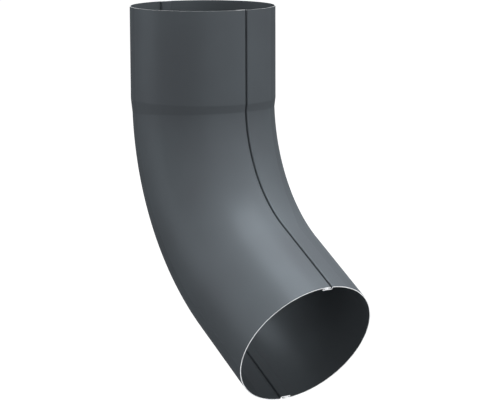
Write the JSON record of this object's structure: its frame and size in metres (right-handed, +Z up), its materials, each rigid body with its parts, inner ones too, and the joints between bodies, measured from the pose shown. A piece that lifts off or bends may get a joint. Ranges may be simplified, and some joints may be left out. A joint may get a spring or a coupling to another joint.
{
  "type": "downspout elbow",
  "caption": "Round sheet steel downpipe elbow with a plain socket, a smooth bend, a straight outlet leg and two folded lock seams.",
  "frame": {"origin": "centre of the inlet socket's rim", "axes": "+Z up along the socket's axis, +X the way that the outlet turns, +Y out of the plane of the bend"},
  "size_m": [0.2006, 0.1018, 0.2603],
  "materials": {
    "coated_steel": "satin"
  },
  "bodies": {
    "root": {"near_half_shell": "coated_steel", "far_half_shell": "coated_steel"}
  },
  "joints": []
}
